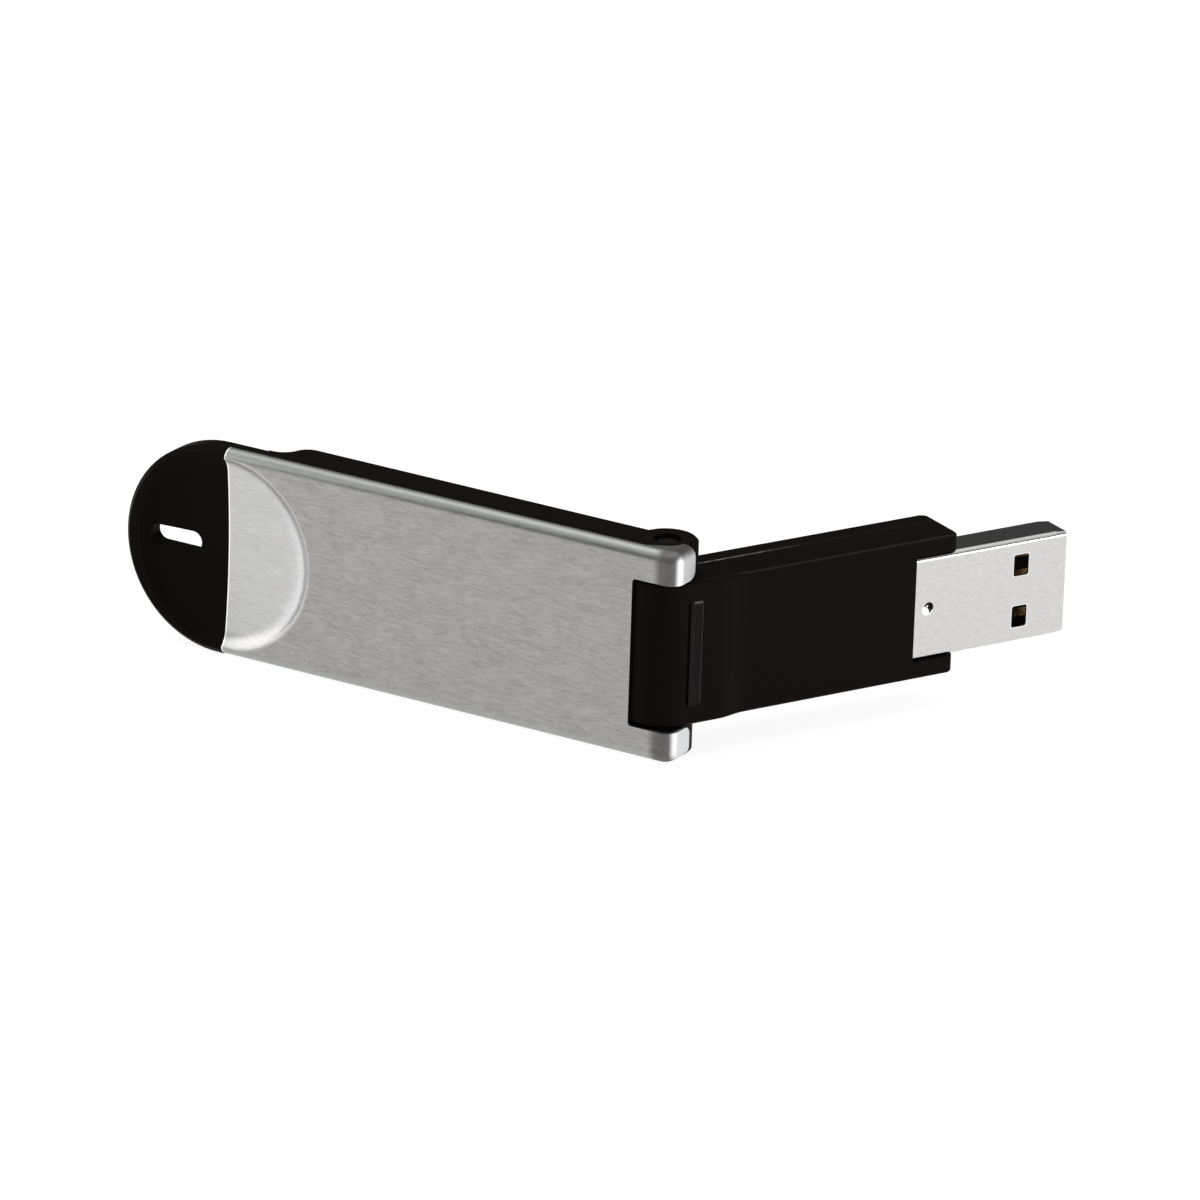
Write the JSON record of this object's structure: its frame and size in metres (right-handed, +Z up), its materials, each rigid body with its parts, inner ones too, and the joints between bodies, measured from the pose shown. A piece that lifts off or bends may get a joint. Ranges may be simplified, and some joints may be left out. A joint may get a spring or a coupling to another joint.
{
  "type": "usb flash drive",
  "caption": "Folding flash drive: a plug on a short hinged arm that folds into the back of a long steel-faced cover with a keyring slot and a thumb dish.",
  "frame": {"origin": "on the hinge axis, at the flat bottom of the lower hinge lug, where the drive stands on its long edge", "axes": "+X along the cover towards its hinge end, +Y away from the steel face towards the side that the arm folds into, +Z up along the hinge pin"},
  "size_m": [0.0932, 0.0485, 0.0241],
  "materials": {
    "brushed_plate": "long-grain brushed stainless steel",
    "adhesive": "thin transfer adhesive",
    "black_moulding": "matte soft-touch black",
    "pin_steel": "turned steel",
    "washer_nylon": "natural nylon",
    "arm_moulding": "matte soft-touch black",
    "smoked_window": "smoked translucent",
    "board": "green solder mask",
    "chip_black": "moulded epoxy",
    "crystal_can": "plain metal can",
    "capacitor_tan": "ceramic",
    "resistor_black": "ceramic",
    "led_clear": "clear epoxy",
    "plug_nickel": "nickel plated, faint grain",
    "insulator": "dark moulded insulator",
    "contact_gold": "gold plated"
  },
  "bodies": {
    "cover": {"face_plate": "brushed_plate", "plate_adhesive": "adhesive", "front_frame": "black_moulding", "rear_shell": "black_moulding", "hinge_pin": "pin_steel", "upper_washer": "washer_nylon", "lower_washer": "washer_nylon"},
    "arm": {"arm_front_shell": "arm_moulding", "arm_rear_shell": "arm_moulding", "light_guide": "smoked_window", "circuit_board": "board", "flash_chip": "chip_black", "controller_chip": "chip_black", "crystal": "crystal_can", "voltage_regulator": "chip_black", "capacitors": "capacitor_tan", "resistors": "resistor_black", "activity_led": "led_clear", "plug_shell": "plug_nickel", "plug_tongue": "insulator", "plug_contacts": "contact_gold"}
  },
  "joints": [
    {"name": "arm_fold", "type": "hinge", "parent": "cover", "child": "arm", "pos_m": [0, 0, 0.01205], "axis": [0, 0, 1], "range_deg": [-62, 118]}
  ]
}
